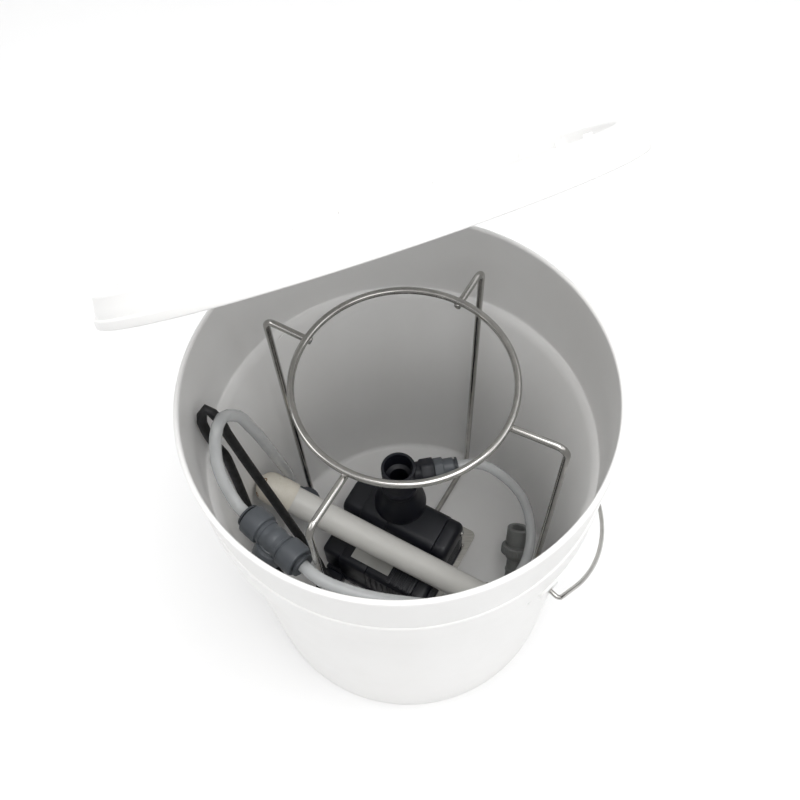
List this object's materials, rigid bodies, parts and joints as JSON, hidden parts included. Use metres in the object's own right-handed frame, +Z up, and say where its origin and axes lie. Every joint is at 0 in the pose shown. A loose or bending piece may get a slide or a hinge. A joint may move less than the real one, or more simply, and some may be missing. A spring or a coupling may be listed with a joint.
{
  "type": "bottle washer kit in a pail",
  "caption": "Lidded white pail holding a wire stand with a submersible pump, spray pipe, clear hoses, a push-fit tee, quick couplings and the pump's power lead.",
  "frame": {"origin": "centre of the pail's underside", "axes": "+Z up, out of the pail's mouth; -Y is the front, towards the viewer; +X to the viewer's right"},
  "size_m": [0.3434, 0.3288, 0.609],
  "materials": {
    "white_plastic": "smooth moulded",
    "polished_steel": "polished wire and plate",
    "black_plastic": "fine moulded grain",
    "grey_plastic": "satin moulded",
    "cream_plastic": "satin moulded",
    "pipe_plastic": "extruded pipe",
    "clear_hose": "translucent hose",
    "lead_rubber": "matt jacket",
    "ceramic": "ground ceramic",
    "magnet": "ferrite and laminations",
    "copper": "bare metal",
    "label": "blank foil label",
    "rubber": "moulded rubber"
  },
  "bodies": {
    "pail": {"pail_shell": "white_plastic", "stand_ring": "polished_steel", "stand_leg_1": "polished_steel", "stand_leg_2": "polished_steel", "stand_leg_3": "polished_steel", "stand_leg_4": "polished_steel", "base_plate": "polished_steel", "cover_screw_1": "polished_steel", "cover_screw_2": "polished_steel", "cover_screw_3": "polished_steel", "cover_screw_4": "polished_steel", "pump_base": "black_plastic", "cable_boss": "black_plastic", "pump_housing": "black_plastic", "volute_casing": "black_plastic", "intake_cover": "black_plastic", "rear_cover": "black_plastic", "rotor_well": "black_plastic", "outlet_neck": "black_plastic", "outlet_tee": "black_plastic", "cord_gland": "black_plastic", "plug_body": "black_plastic", "hose_adaptor": "grey_plastic", "hose_tee": "grey_plastic", "coupling_left_body": "grey_plastic", "coupling_right_body": "grey_plastic", "spray_cap": "cream_plastic", "spray_pipe": "pipe_plastic", "pipe_socket": "pipe_plastic", "pump_hose": "clear_hose", "left_hose": "clear_hose", "right_hose": "clear_hose", "power_cord": "lead_rubber", "cord_coil": "lead_rubber", "cord_tail": "lead_rubber", "rotor_shaft": "ceramic", "stator_core": "magnet", "stator_coil": "copper", "plug_pin_1": "copper", "plug_pin_2": "copper", "plug_pin_3": "copper", "rating_label": "label", "bush_front": "rubber", "bush_rear": "rubber", "cord_tie": "rubber"},
    "lid": {"lid": "white_plastic"},
    "bail": {"bail_wire": "polished_steel"},
    "bail_grip": {"bail_grip": "white_plastic"},
    "rotor": {"impeller": "grey_plastic", "rotor_magnet": "magnet"},
    "adaptor_collet": {"adaptor_collet": "grey_plastic"},
    "tee_collet_1": {"tee_collet_1": "grey_plastic"},
    "tee_collet_2": {"tee_collet_2": "grey_plastic"},
    "tee_collet_3": {"tee_collet_3": "grey_plastic"},
    "coupling_left_collar": {"coupling_left_collar": "grey_plastic"},
    "coupling_right_collar": {"coupling_right_collar": "grey_plastic"}
  },
  "joints": [
    {"name": "lid_tilt", "type": "hinge", "parent": "pail", "child": "lid", "pos_m": [-0.0551, 0.14659, 0.381], "axis": [-0.9361, -0.3518, 0], "range_deg": [-46, 44]},
    {"name": "bail_swing", "type": "hinge", "parent": "pail", "child": "bail", "pos_m": [0, 0, 0.26], "axis": [0.6428, -0.766, 0], "range_deg": [0, 40]},
    {"name": "grip_spin", "type": "hinge", "parent": "bail", "child": "bail_grip", "pos_m": [0.12147, 0.10193, 0.14479], "axis": [0.6428, -0.766, 0], "continuous": true},
    {"name": "rotor_spin", "type": "hinge", "parent": "pail", "child": "rotor", "pos_m": [0.004, 0.01, 0.0489], "axis": [0.848, -0.5299, 0], "continuous": true},
    {"name": "adaptor_collet_press", "type": "slide", "parent": "pail", "child": "adaptor_collet", "axis": [0.9917, 0.1288, 0], "range_m": [-0.0015, 0]},
    {"name": "tee_collet_1_press", "type": "slide", "parent": "pail", "child": "tee_collet_1", "axis": [0.7071, -0.7071, 0], "range_m": [-0.0014, 0]},
    {"name": "tee_collet_2_press", "type": "slide", "parent": "pail", "child": "tee_collet_2", "axis": [-0.7071, 0.7071, 0], "range_m": [-0.0014, 0]},
    {"name": "tee_collet_3_press", "type": "slide", "parent": "pail", "child": "tee_collet_3", "axis": [-0.4002, -0.2001, -0.8943], "range_m": [-0.0014, 0]},
    {"name": "coupling_left_release", "type": "slide", "parent": "pail", "child": "coupling_left_collar", "axis": [0.1177, 0.1569, -0.9806], "range_m": [-0.003, 0], "stiffness_N_per_m": 400, "springref_m": 0.001},
    {"name": "coupling_right_release", "type": "slide", "parent": "pail", "child": "coupling_right_collar", "axis": [0.1408, 0.664, 0.7344], "range_m": [-0.003, 0], "stiffness_N_per_m": 400, "springref_m": 0.001}
  ]
}
